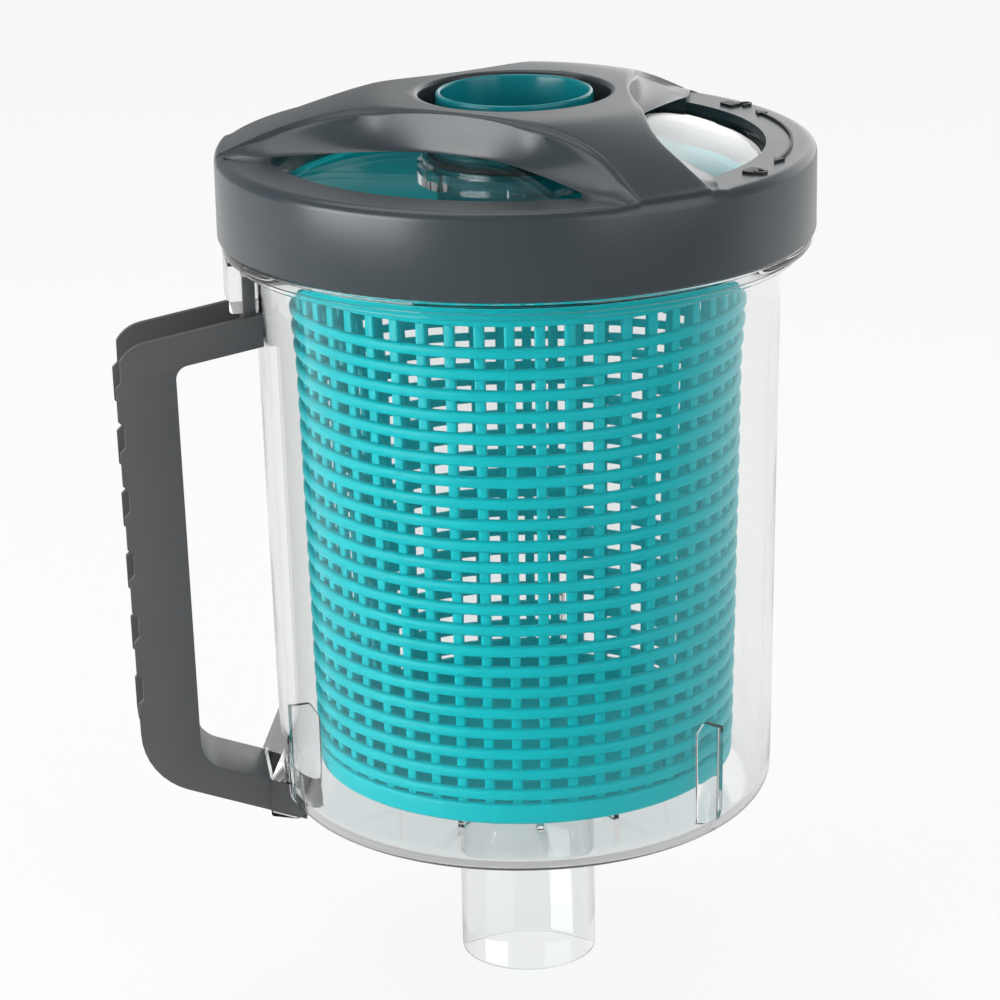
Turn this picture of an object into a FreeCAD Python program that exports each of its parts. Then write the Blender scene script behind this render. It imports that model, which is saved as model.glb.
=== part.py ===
import FreeCAD, Part
import math
import os
from FreeCAD import Vector

# A leaf canister for a pool cleaner's hose: a clear can with a side handle, a teal strainer basket that
# stands in it, and a screw lid. The lid's dark collar turns around a clear window that carries the inlet tube.
# Millimetres. The origin is the centre of the outlet spigot's open end, +Z is up, the lid is at the top.

# Outlet spigot, moulded in one with the can
SPIGOT_R = 22.5
SPIGOT_WALL = 2.0
SPIGOT_LENGTH = 60.0

# Can
CAN_HEIGHT = 184.0
CAN_R_TOP = 84.0
CAN_DRAFT = 2.8
CAN_WALL = 2.8
CAN_FLOOR = 3.0
CAN_CORNER_R = 9.0
NECK_OUT = 4.0
STEP_OUT = 3.0
STEP_THICKNESS = 2.5
FLANGE_OUT = 5.8
FLANGE_THICKNESS = 3.7
NECK_WALL = 3.0
NECK_HEIGHT = 17.8
NECK_STEP = 3.2

# Ribs that carry the basket, and tall fins that keep it in the middle
RIB_COUNT = 12
RIB_FIRST_DEG = 275.0
RIB_HEIGHT = 10.3
RIB_THICKNESS = 2.0
RIB_FROM_BORE = 5.5
RIB_LENGTH = 24.0
FIN_COUNT = 3
FIN_FIRST_DEG = 320.0
FIN_HEIGHT = 36.0
FIN_THICKNESS = 2.2
FIN_CHAMFER = 5.0
FIN_GAP = 1.2

# Strainer basket: a ring at each pitch outside, slots between the bars
BASKET_IN = 13.8
BASKET_TAPER_DEG = 1.25
BASKET_WALL = 1.6
BASKET_FLOOR = 2.4
BASKET_RING_PITCH = 6.93
BASKET_RING_HEIGHT = 1.3
BASKET_FOOT = 6.7
BASKET_FOOT_EDGE = 2.0
BASKET_COLLAR = 32.0
BASKET_TOP_DROP = 3.5
BASKET_RIM_WIDTH = 2.6
BASKET_RIM_HEIGHT = 3.0
SLOT_COLUMNS = 24
SLOT_ROW_RINGS = 4.4
SLOT_WIDTH = 8.4
SLOT_RINGS = 4

# Screw lid: three starts on the neck, three lugs in the collar
THREAD_LEAD = 36.0
THREAD_STARTS = 3
THREAD_HEIGHT = 3.0
THREAD_DEPTH = 2.6
THREAD_ARC_DEG = 100.0
THREAD_BASE = 2.3
LUG_FROM_DEG = 38.0
LUG_ARC_DEG = 45.0
THREAD_GAP = 0.3
THREAD_SIDE_GAP = 0.6

# Lid collar
COLLAR_WALL = 3.8
COLLAR_LIFT = 0.3
SKIRT_HEIGHT = 27.0
RIM_FILLET = 3.0
LAND_THICKNESS = 3.0
DOME_R = 220.0
DOME_RIM_IN = 0.9
HUB_HEIGHT = 16.5
HUB_GAP = 5.5
HUB_EDGE_R = 1.2
HUB_SLEEVE_WALL = 2.6
SHELL = 3.0

# Three eyes between the lid's arms, each with a window
EYE_COUNT = 3
EYE_FIRST_DEG = 0.5
LAND_WIDTH = 16.0
EYE_FROM_HUB = 7.2
EYE_ARC_R = 60.0
EYE_ARC_HALF_DEG = 25.7
EYE_TIP_DEG = 44.0
EYE_FLARE = 2.2
EYE_STEP = 3.5
CREST_FROM_HUB = 5.3
CREST_BOW = 0.6
CREST_SIDE_X = 20.0
CREST_TIP_X = 52.0
CREST_TIP_Y = 29.5
CREST_FLARE = 10.5
CREST_HEIGHT = 18.5
EYE_END_IN = 9.0

# Clear window plate and its seal on the neck
WINDOW_IN = 1.5
WINDOW_THICKNESS = 3.0
WINDOW_GAP = 0.2
SEAL_HEIGHT = 3.3

# Inlet tube with its flange, O-ring and lock ring
INLET_R = 24.8
INLET_WALL = 1.5
INLET_TOP = 0.2
INLET_REACH = 31.0
INLET_FLANGE_WIDTH = 4.4
INLET_FLANGE = 2.8
INLET_FIT = 0.1
ORING_OUT = 2.2
ORING_SECTION_R = 0.9
LOCK_RING_WIDTH = 6.2
LOCK_RING_HEIGHT = 5.0
LOCK_NOTCHES = 8
LOCK_NOTCH_R = 2.6

# Handle: a channel that opens outwards, in the upright plane at this direction
HANDLE_DEG = 188.5
HANDLE_WIDTH = 27.0
HANDLE_WALL = 2.4
HANDLE_WEB = 2.6
HANDLE_DEPTH = 19.1
HANDLE_ARM = 10.3
HANDLE_DROP = 14.6
HANDLE_REACH = 46.2
HANDLE_LEAN_DEG = 1.0
TOP_ARM_SLOPE_DEG = 11.1
LOW_ARM_SLOPE_DEG = 19.5
LOW_ARM_DROP = 0.5
HANDLE_FOOT_IN = 6.2
HANDLE_FIT = 0.3
TOP_OUTER_R = 12.0
TOP_INNER_R = 4.5
LOW_OUTER_R = 22.0
LOW_INNER_R = 10.0
NOTCH_PITCH = 21.3
NOTCH_LENGTH = 10.8
NOTCH_DEPTH = 1.8
NOTCH_FIRST = 16.3
NOTCH_LAST = 38.0
TONGUE_HEIGHT = 11.5
TONGUE_THICKNESS = 3.6
POCKET_DEPTH = 9.0
POCKET_WALL = 2.0
SHOE_WALL = 1.6
SHOE_DEPTH = 5.5
SHOE_TOP = 16.0

# Radii worked out from the sizes above
CAN_R_BOTTOM = CAN_R_TOP - CAN_DRAFT
NECK_R = CAN_R_TOP + NECK_OUT
STEP_R = NECK_R + STEP_OUT
FLANGE_R = NECK_R + FLANGE_OUT
COLLAR_BORE_R = NECK_R + THREAD_DEPTH + THREAD_SIDE_GAP
COLLAR_R = COLLAR_BORE_R + COLLAR_WALL
BASKET_R_BOTTOM = CAN_R_BOTTOM - BASKET_IN
BASKET_SLOPE = math.tan(math.radians(BASKET_TAPER_DEG))
RIB_R_INNER = SPIGOT_R - SPIGOT_WALL + RIB_FROM_BORE
RIB_R_OUTER = RIB_R_INNER + RIB_LENGTH
HUB_HOLE_R = INLET_R + HUB_GAP
EYE_SIDE_R = COLLAR_R - LAND_WIDTH
EYE_NEAR = HUB_HOLE_R + EYE_FROM_HUB
EYE_TIP_X = EYE_SIDE_R * math.sin(math.radians(EYE_TIP_DEG))
EYE_REACH = COLLAR_R - EYE_END_IN
CREST_NEAR = HUB_HOLE_R + CREST_FROM_HUB
WINDOW_R = NECK_R - WINDOW_IN
INLET_FLANGE_R = INLET_R + INLET_FLANGE_WIDTH
ORING_R = INLET_R + ORING_OUT
LOCK_RING_R = INLET_R + LOCK_RING_WIDTH
HANDLE_OUT = CAN_R_TOP + HANDLE_REACH
HANDLE_FOOT_X = CAN_R_BOTTOM - HANDLE_FOOT_IN

# Heights worked out from the sizes above
Z_FLOOR = SPIGOT_LENGTH
Z_INNER_FLOOR = Z_FLOOR + CAN_FLOOR
Z_CAN_TOP = Z_FLOOR + CAN_HEIGHT
Z_FLANGE = Z_CAN_TOP + STEP_THICKNESS
Z_FLANGE_TOP = Z_FLANGE + FLANGE_THICKNESS
Z_NECK_TOP = Z_FLANGE_TOP + NECK_HEIGHT
Z_SKIRT = Z_FLANGE_TOP + COLLAR_LIFT
Z_LAND = Z_SKIRT + SKIRT_HEIGHT
Z_LAND_UNDER = Z_LAND - LAND_THICKNESS
Z_HUB = Z_LAND + HUB_HEIGHT
Z_WINDOW_TOP = Z_NECK_TOP + SEAL_HEIGHT + WINDOW_THICKNESS
Z_WINDOW = Z_NECK_TOP + SEAL_HEIGHT
Z_BASKET = Z_INNER_FLOOR + RIB_HEIGHT
Z_BASKET_TOP = Z_NECK_TOP - BASKET_TOP_DROP
Z_FIRST_RING = Z_BASKET + BASKET_FOOT + BASKET_RING_PITCH / 2
HANDLE_TOP_Z = Z_CAN_TOP - HANDLE_DROP
LOW_ARM_Z = Z_FLOOR - LOW_ARM_DROP
NOTCH_TOP_Z = HANDLE_TOP_Z - NOTCH_FIRST

# As many rings, rows of slots and finger notches as their lengths hold
BASKET_RING_COUNT = round((Z_BASKET_TOP - BASKET_COLLAR - BASKET_FOOT - Z_BASKET) / BASKET_RING_PITCH)
SLOT_ROWS = round(BASKET_RING_COUNT / SLOT_ROW_RINGS)
NOTCH_COUNT = 1 + int((NOTCH_TOP_Z - LOW_ARM_Z - NOTCH_LAST) / NOTCH_PITCH)


def can_radius(z):
    """Outer radius of the can's tapered wall at a height."""
    share = (z - Z_FLOOR) / CAN_HEIGHT
    return CAN_R_BOTTOM + (CAN_R_TOP - CAN_R_BOTTOM) * share


def basket_radius(z):
    """Outer radius of the basket's wall at a height, without its rings."""
    return BASKET_R_BOTTOM + (z - Z_BASKET) * BASKET_SLOPE


def tube(r_inner, r_outer, z0, z1):
    """A plain ring about the canister's axis."""
    base = Vector(0, 0, z0)
    outer = Part.makeCylinder(r_outer, z1 - z0, base)
    return outer.cut(Part.makeCylinder(r_inner, z1 - z0, base))


def turned(points):
    """Turn a closed outline of (radius, height) points about the axis."""
    corners = [Vector(r, 0, z) for r, z in points]
    face = Part.Face(Part.makePolygon(corners + corners[:1]))
    return face.revolve(Vector(0, 0, 0), Vector(0, 0, 1), 360)


def around(shape, degrees):
    """A copy of the shape, turned about the axis."""
    copy = shape.copy()
    copy.rotate(Vector(0, 0, 0), Vector(0, 0, 1), degrees)
    return copy


def spaced(shape, count, first=0.0):
    """Copies of the shape at even steps round the axis."""
    return [around(shape, first + 360.0 * i / count) for i in range(count)]


def one_solid(shape):
    """The single solid that the finished piece has to be."""
    shape = shape.removeSplitter()
    return shape.Solids[0]


def slab(x0, x1, y0, y1, z0, z1):
    """A box between two corners."""
    return Part.makeBox(x1 - x0, y1 - y0, z1 - z0, Vector(x0, y0, z0))


def rounded_outline(corners):
    """A closed wire in the XZ plane through (x, z, radius) corners, each rounded by its radius."""
    edges = []
    ends = []
    count = len(corners)
    for i in range(count):
        x, z, radius = corners[i]
        here = Vector(x, 0, z)
        before = Vector(corners[i - 1][0], 0, corners[i - 1][1])
        after = Vector(corners[(i + 1) % count][0], 0, corners[(i + 1) % count][1])
        if radius == 0:
            ends.append((here, here))
            continue
        back = (before - here).normalize()
        on = (after - here).normalize()
        half = back.getAngle(on) / 2
        reach = radius / math.tan(half)
        middle = (back + on).normalize() * (radius / math.sin(half) - radius)
        start = here + back * reach
        end = here + on * reach
        edges.append(Part.Arc(start, here + middle, end).toShape())
        ends.append((start, end))
    for i in range(count):
        start = ends[i][1]
        end = ends[(i + 1) % count][0]
        if start.distanceToPoint(end) > 1e-6:
            edges.append(Part.LineSegment(start, end).toShape())
    return Part.Wire(Part.__sortEdges__(edges))


def plate(wire, y0, y1):
    """The outline in the XZ plane, made solid between two Y positions."""
    face = Part.Face(wire)
    face.translate(Vector(0, y0, 0))
    return face.extrude(Vector(0, y1 - y0, 0))


def helix_ridge(r_root, r_crest, z, arc_deg):
    """A ridge of trapezoid section that climbs with the lid thread's lead, with its foot at z."""
    pitch = THREAD_LEAD
    path = Part.makeHelix(pitch, pitch * arc_deg / 360.0, r_root)
    slope = THREAD_HEIGHT / 4
    corners = [Vector(r_root, 0, 0), Vector(r_crest, 0, slope)]
    corners += [Vector(r_crest, 0, THREAD_HEIGHT - slope), Vector(r_root, 0, THREAD_HEIGHT)]
    section = Part.makePolygon(corners + corners[:1])
    ridge = Part.Wire(path.Edges).makePipeShell([section], True, True)
    ridge.translate(Vector(0, 0, z))
    return ridge


# The handle's outline is shared with the can, whose shoe and pocket hold its two ends.

def handle_line(x0, z0, degrees, x):
    """Height at x of the line through (x0, z0) with this slope."""
    return z0 + (x - x0) * math.tan(math.radians(degrees))


def grip_x(z, inset):
    """Distance from the axis of the grip's outer edge at a height, moved inwards by inset."""
    lean = math.tan(math.radians(HANDLE_LEAN_DEG))
    return HANDLE_OUT - inset + (z - HANDLE_TOP_Z) * lean


def arm_corner(top, depth, grip_inset):
    """Where an arm's edge, depth below its outer edge, meets the grip's edge."""
    if top:
        degrees = -TOP_ARM_SLOPE_DEG
        x0 = CAN_R_TOP
        z0 = HANDLE_TOP_Z - depth / math.cos(math.radians(degrees))
    else:
        degrees = LOW_ARM_SLOPE_DEG
        x0 = CAN_R_BOTTOM
        z0 = LOW_ARM_Z + depth / math.cos(math.radians(degrees))
    x = HANDLE_OUT - grip_inset
    for _ in range(6):
        z = handle_line(x0, z0, degrees, x)
        x = grip_x(z, grip_inset)
    return x, z, x0, z0, degrees


def handle_outline(depth, grip_inset, x_end, outside, grow=0.0):
    """The handle's C, from its inner edges to depth and inset outside them, or out past it."""
    top_x, top_z, tx0, tz0, t_deg = arm_corner(True, depth + grow, grip_inset + grow)
    low_x, low_z, lx0, lz0, l_deg = arm_corner(False, depth + grow, grip_inset + grow)
    inner_top = (top_x, top_z, max(TOP_INNER_R - grow, 0.5))
    inner_low = (low_x, low_z, max(LOW_INNER_R - grow, 0.5))
    ends = [(x_end, handle_line(tx0, tz0, t_deg, x_end), 0)]
    inner = ends + [inner_top, inner_low, (x_end, handle_line(lx0, lz0, l_deg, x_end), 0)]
    return inner + outside


def handle_solid(grow=0.0):
    """The handle's full side shape, before its channel is cut, its skin moved outwards by grow."""
    x_end = HANDLE_FOOT_X
    ox, oz, tx0, tz0, t_deg = arm_corner(True, -grow, -grow)
    lx, lz, lx0, lz0, l_deg = arm_corner(False, -grow, -grow)
    outside = [(x_end, handle_line(lx0, lz0, l_deg, x_end), 0), (lx, lz, LOW_OUTER_R)]
    outside += [(ox, oz, TOP_OUTER_R), (x_end, handle_line(tx0, tz0, t_deg, x_end), 0)]
    outline = handle_outline(HANDLE_ARM + grow, HANDLE_DEPTH + grow, x_end, outside)
    half = HANDLE_WIDTH / 2 + grow
    return plate(rounded_outline(outline), -half, half)


def handle_channel():
    """What is taken out of the handle's side shape to leave two flanges and a web on the finger side."""
    far = HANDLE_OUT + HANDLE_DEPTH
    x_end = HANDLE_FOOT_X - HANDLE_WALL
    outside = [(x_end, LOW_ARM_Z - HANDLE_DEPTH * 2, 0), (far, LOW_ARM_Z - HANDLE_DEPTH * 2, 0)]
    outside += [(far, HANDLE_TOP_Z + HANDLE_DEPTH, 0), (x_end, HANDLE_TOP_Z + HANDLE_DEPTH, 0)]
    depth = HANDLE_ARM - HANDLE_WEB
    outline = handle_outline(depth, HANDLE_DEPTH - HANDLE_WEB, x_end, outside)
    half = HANDLE_WIDTH / 2 - HANDLE_WALL
    return plate(rounded_outline(outline), -half, half)


def grip_notches():
    """The finger recesses along the outer edges of both flanges."""
    cuts = []
    ramp = NOTCH_DEPTH
    for i in range(NOTCH_COUNT):
        z = NOTCH_TOP_Z - i * NOTCH_PITCH
        x = grip_x(z, NOTCH_DEPTH)
        half = NOTCH_LENGTH / 2
        out = x + HANDLE_DEPTH
        inner = [(x, z - half + ramp, 0), (x, z + half - ramp, 0)]
        side = [(x + NOTCH_DEPTH, z + half, 0), (out, z + half, 0), (out, z - half, 0)]
        corners = inner + side + [(x + NOTCH_DEPTH, z - half, 0)]
        cuts.append(plate(rounded_outline(corners), -HANDLE_WIDTH, HANDLE_WIDTH))
    return cuts


def can_skin(gap):
    """The can's outer shape with a gap round it, which trims the handle's ends."""
    foot = CAN_CORNER_R
    points = [(0, Z_FLOOR - gap), (CAN_R_BOTTOM - foot, Z_FLOOR - gap)]
    for step in range(1, 5):
        turn = math.radians(90.0 * step / 5)
        r = can_radius(Z_FLOOR + foot) - foot + (foot + gap) * math.sin(turn)
        points.append((r, Z_FLOOR + foot - (foot + gap) * math.cos(turn)))
    points += [(can_radius(Z_FLOOR + foot) + gap, Z_FLOOR + foot), (CAN_R_TOP + gap, Z_CAN_TOP)]
    points.append((0, Z_CAN_TOP))
    return turned(points)


def pocket_inner_x():
    """Where the handle's tongue starts, just outside the can's wall."""
    return can_radius(HANDLE_TOP_Z) + POCKET_WALL / 2


def handle():
    """The side handle: a moulded channel with a tongue that stands in the can's upper pocket."""
    body = handle_solid().cut(handle_channel())
    body = body.cut(Part.makeCompound(grip_notches()))
    x0 = pocket_inner_x() + HANDLE_FIT
    web_z = handle_line(CAN_R_TOP, HANDLE_TOP_Z - HANDLE_ARM, -TOP_ARM_SLOPE_DEG, x0)
    half = HANDLE_WIDTH / 2 - HANDLE_WALL - POCKET_WALL
    top = HANDLE_TOP_Z + TONGUE_HEIGHT
    tongue = slab(x0, x0 + TONGUE_THICKNESS, -half, half, web_z + HANDLE_WEB / 2, top)
    body = body.fuse(tongue).cut(can_skin(HANDLE_FIT))
    body = max(body.Solids, key=lambda solid: solid.Volume)
    return around(body, HANDLE_DEG)


def upper_pocket():
    """The clear pocket under the flange that the handle's tongue stands in."""
    x0 = pocket_inner_x()
    x1 = CAN_R_TOP + POCKET_DEPTH
    z0 = HANDLE_TOP_Z + HANDLE_FIT
    half = HANDLE_WIDTH / 2 - HANDLE_WALL
    block = slab(CAN_R_TOP - CAN_WALL, x1, -half, half, z0, Z_CAN_TOP)
    inner = half - POCKET_WALL + HANDLE_FIT
    cavity_top = HANDLE_TOP_Z + TONGUE_HEIGHT + HANDLE_FIT
    x_cavity = x0 + TONGUE_THICKNESS + 2 * HANDLE_FIT
    return block, slab(x0, x_cavity, -inner, inner, z0 - 1, cavity_top)


def lower_shoe():
    """The clear shoe at the foot of the can that the handle's lower arm ends in."""
    arm_top = LOW_ARM_Z + HANDLE_ARM / math.cos(math.radians(LOW_ARM_SLOPE_DEG))
    x0 = CAN_R_BOTTOM - CAN_WALL
    x1 = CAN_R_BOTTOM + SHOE_DEPTH
    corners = [(x0 - CAN_CORNER_R, Z_FLOOR, 0), (x0, Z_FLOOR - SHOE_WALL, 0)]
    corners += [(x1, Z_FLOOR, 1.0), (x1, arm_top + SHOE_WALL, 2.0), (x0 + CAN_WALL, arm_top + SHOE_TOP, 0)]
    corners.append((x0 - CAN_CORNER_R, arm_top + SHOE_TOP, 0))
    half = HANDLE_WIDTH / 2 + SHOE_WALL
    return plate(rounded_outline(corners), -half, half), handle_solid(HANDLE_FIT)


def can_profile():
    """Outline of the can, its floor, spigot, flange and neck, to be turned about the axis."""
    bore = SPIGOT_R - SPIGOT_WALL
    corner = CAN_CORNER_R
    outer_corner = can_radius(Z_FLOOR + corner)
    inner_r = corner - CAN_WALL
    edges = []
    path = [(bore, 0), (SPIGOT_R, 0), (SPIGOT_R, Z_FLOOR), (outer_corner - corner, Z_FLOOR)]
    arc_mid = (outer_corner - corner * (1 - math.sqrt(0.5)), Z_FLOOR + corner * (1 - math.sqrt(0.5)))
    path_2 = [(outer_corner, Z_FLOOR + corner), (CAN_R_TOP, Z_CAN_TOP), (STEP_R, Z_CAN_TOP)]
    path_2 += [(STEP_R, Z_FLANGE), (FLANGE_R, Z_FLANGE), (FLANGE_R, Z_FLANGE_TOP)]
    path_2 += [(NECK_R, Z_FLANGE_TOP), (NECK_R, Z_NECK_TOP), (NECK_R - NECK_WALL, Z_NECK_TOP)]
    path_2 += [(NECK_R - NECK_WALL, Z_FLANGE_TOP - NECK_STEP), (CAN_R_TOP - CAN_WALL, Z_FLANGE_TOP - NECK_STEP)]
    inner_z = Z_INNER_FLOOR + inner_r
    path_2.append((outer_corner - CAN_WALL, inner_z))
    inner_mid = (outer_corner - CAN_WALL - inner_r * (1 - math.sqrt(0.5)),
                 inner_z - inner_r * math.sqrt(0.5))
    path_3 = [(outer_corner - CAN_WALL - inner_r, Z_INNER_FLOOR), (bore, Z_INNER_FLOOR), (bore, 0)]
    for run in (path, path_2, path_3):
        points = [Vector(r, 0, z) for r, z in run]
        edges += [Part.LineSegment(a, b).toShape() for a, b in zip(points, points[1:])]
    for start, middle, end in ((path[-1], arc_mid, path_2[0]), (path_2[-1], inner_mid, path_3[0])):
        three = [Vector(r, 0, z) for r, z in (start, middle, end)]
        edges.append(Part.Arc(*three).toShape())
    return Part.Wire(Part.__sortEdges__(edges))


def basket_supports():
    """Low radial ribs under the basket and tall fins beside it, all part of the can."""
    half = RIB_THICKNESS / 2
    sunk = CAN_FLOOR / 2
    rib = slab(RIB_R_INNER, RIB_R_OUTER, -half, half, Z_INNER_FLOOR - sunk, Z_INNER_FLOOR + RIB_HEIGHT)
    z0 = Z_INNER_FLOOR - sunk
    z1 = Z_INNER_FLOOR + FIN_HEIGHT
    x0 = basket_radius(z1) + BASKET_RING_HEIGHT + FIN_GAP
    x1 = can_radius(z1) - CAN_WALL / 2
    low_x1 = can_radius(Z_INNER_FLOOR + CAN_CORNER_R) - CAN_WALL / 2
    corner = CAN_CORNER_R - CAN_WALL
    corners = [(x0, z0, 0), (low_x1 - corner, z0, 0), (low_x1, Z_INNER_FLOOR + corner, 0), (x1, z1, 0)]
    corners += [(x0 + FIN_CHAMFER / 2, z1, 0), (x0, z1 - FIN_CHAMFER, 0)]
    fin = plate(rounded_outline(corners), -FIN_THICKNESS / 2, FIN_THICKNESS / 2)
    return spaced(rib, RIB_COUNT, RIB_FIRST_DEG) + spaced(fin, FIN_COUNT, FIN_FIRST_DEG)


def canister_body():
    """The clear can, moulded in one piece with its spigot, flange, threaded neck, pocket and shoe."""
    face = Part.Face(can_profile())
    body = face.revolve(Vector(0, 0, 0), Vector(0, 0, 1), 360)
    inside = Part.makeCone(can_radius(Z_FLOOR) - CAN_WALL, CAN_R_TOP - CAN_WALL, CAN_HEIGHT, Vector(0, 0, Z_FLOOR))
    pocket, cavity = upper_pocket()
    shoe, socket = lower_shoe()
    pocket = around(pocket.cut(inside).cut(cavity), HANDLE_DEG)
    shoe = around(shoe.cut(can_skin(-CAN_WALL / 2)).cut(socket), HANDLE_DEG)
    shoe = max(shoe.Solids, key=lambda solid: solid.Volume)
    root = NECK_R - NECK_WALL / 4
    ridge = helix_ridge(root, NECK_R + THREAD_DEPTH, Z_FLANGE_TOP + THREAD_BASE, THREAD_ARC_DEG)
    extras = [pocket, shoe] + basket_supports() + spaced(ridge, THREAD_STARTS)
    return one_solid(body.fuse(extras))


def basket_outline():
    """The basket's wall, floor, rings and rim as (radius, height) points."""
    top = Z_BASKET_TOP
    foot_r = basket_radius(Z_FIRST_RING) + BASKET_RING_HEIGHT
    points = [(0, Z_BASKET), (BASKET_R_BOTTOM, Z_BASKET), (foot_r, Z_BASKET + BASKET_FOOT_EDGE)]
    points.append((foot_r, Z_BASKET + BASKET_FOOT - BASKET_FOOT_EDGE))
    for i in range(BASKET_RING_COUNT):
        z = Z_FIRST_RING + i * BASKET_RING_PITCH
        points.append((basket_radius(z - BASKET_RING_PITCH / 2), z - BASKET_RING_PITCH / 2))
        points.append((basket_radius(z) + BASKET_RING_HEIGHT, z))
    z = Z_FIRST_RING + (BASKET_RING_COUNT - 0.5) * BASKET_RING_PITCH
    rim = basket_radius(top) + BASKET_RIM_WIDTH
    points += [(basket_radius(z), z), (basket_radius(z) + BASKET_RING_HEIGHT, z + BASKET_RING_PITCH / 3)]
    points += [(basket_radius(top), top - BASKET_RIM_HEIGHT), (rim, top - BASKET_RIM_HEIGHT), (rim, top)]
    inner_top = basket_radius(top) - BASKET_WALL
    inner_low = basket_radius(Z_BASKET) - BASKET_WALL
    points += [(inner_top, top), (inner_low, Z_BASKET + BASKET_FLOOR), (0, Z_BASKET + BASKET_FLOOR)]
    return points


def basket_slots():
    """Upright slots between the basket's bars, in rows that leave a ring whole between them."""
    cuts = []
    rows_pitch = BASKET_RING_COUNT * BASKET_RING_PITCH / SLOT_ROWS
    height = (SLOT_RINGS - 0.5) / SLOT_ROW_RINGS * rows_pitch
    start = Z_FIRST_RING - BASKET_RING_PITCH / 2
    reach = basket_radius(Z_CAN_TOP) + BASKET_RING_HEIGHT + BASKET_WALL
    for row in range(SLOT_ROWS):
        z = start + rows_pitch * (row + 0.5)
        inner = BASKET_R_BOTTOM - BASKET_WALL * 2
        slot = slab(inner, reach, -SLOT_WIDTH / 2, SLOT_WIDTH / 2, z - height / 2, z + height / 2)
        cuts += spaced(slot, SLOT_COLUMNS)
    return cuts


def leaf_basket():
    """The teal strainer basket, which stands on the can's ribs and lifts out."""
    basket = turned(basket_outline())
    return one_solid(basket.cut(Part.makeCompound(basket_slots())))


def eye_wires(grow):
    """Outlines of an eye at the foot of its scoop and above the dome, the near side moved in by grow.

    An eye opens towards +Y here and runs out past the rim."""
    radius = EYE_ARC_R + grow
    centre = EYE_NEAR + EYE_ARC_R
    half = math.radians(EYE_ARC_HALF_DEG)
    side_x = radius * math.sin(half)
    side_y = centre - radius * math.cos(half)
    tip_x = EYE_TIP_X + grow * math.sin(half)
    tip_y = side_y + (tip_x - side_x) * math.tan(half)
    flare_y = tip_y + EYE_FLARE
    far = COLLAR_R + EYE_END_IN
    foot = [(-EYE_REACH, flare_y), (-tip_x, tip_y), (-side_x, side_y), (0, EYE_NEAR - grow)]
    foot += [(side_x, side_y), (tip_x, tip_y), (EYE_REACH, flare_y)]
    tip = CREST_TIP_Y - grow
    bow = CREST_NEAR - CREST_BOW - grow
    crest = [(-EYE_REACH, tip + CREST_FLARE), (-CREST_TIP_X, tip), (-CREST_SIDE_X, bow), (0, CREST_NEAR - grow)]
    crest += [(CREST_SIDE_X, bow), (CREST_TIP_X, tip), (EYE_REACH, tip + CREST_FLARE)]
    wires = []
    for points, z in ((foot, Z_LAND + EYE_STEP), (crest, Z_LAND + CREST_HEIGHT)):
        p = [Vector(x, y, z) for x, y in points]
        corner_a = Vector(EYE_REACH, far, z)
        corner_b = Vector(-EYE_REACH, far, z)
        lines = [(p[0], p[1]), (p[1], p[2]), (p[4], p[5]), (p[5], p[6]), (p[6], corner_a)]
        lines += [(corner_a, corner_b), (corner_b, p[0])]
        edges = [Part.LineSegment(a, b).toShape() for a, b in lines]
        edges.append(Part.Arc(p[2], p[3], p[4]).toShape())
        wires.append(Part.Wire(Part.__sortEdges__(edges)))
    return wires


def eye_cutter(grow, z_low):
    """The eye's scoop above the land, down to z_low with upright sides, opening towards +Y."""
    foot, crest = eye_wires(grow)
    scoop = Part.makeLoft([foot, crest], True, True)
    face = Part.Face(foot)
    face.translate(Vector(0, 0, z_low - Z_LAND - EYE_STEP))
    step = face.extrude(Vector(0, 0, Z_LAND + EYE_STEP - z_low))
    return step.fuse(scoop)


def dome_ball(inset):
    """The sphere whose cap is the lid's dome, moved inwards by inset."""
    rim_r = COLLAR_R - DOME_RIM_IN
    centre_z = Z_LAND - math.sqrt(DOME_R ** 2 - rim_r ** 2)
    return Part.makeSphere(DOME_R - inset, Vector(0, 0, centre_z))


def collar_outer():
    """The collar as if its arms were solid: skirt, dome and flat hub, with rounded edges at rim and hole."""
    block = tube(HUB_HOLE_R, COLLAR_R, Z_SKIRT, Z_HUB).common(dome_ball(0))
    high = [edge for edge in block.Edges if edge.BoundBox.ZMin > Z_LAND_UNDER]
    rim = [edge for edge in high if edge.BoundBox.XMax > COLLAR_BORE_R]
    block = block.makeFillet(RIM_FILLET, rim)
    mouth = [edge for edge in block.Edges if edge.BoundBox.ZMin > Z_LAND and edge.BoundBox.XMax < EYE_NEAR]
    return block.makeFillet(HUB_EDGE_R, mouth)


def collar_cavity():
    """The space under the arms and the hub, outside the sleeve round the inlet tube."""
    block = tube(HUB_HOLE_R + HUB_SLEEVE_WALL, COLLAR_BORE_R, Z_LAND_UNDER, Z_HUB - SHELL)
    return block.common(dome_ball(SHELL))


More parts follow.
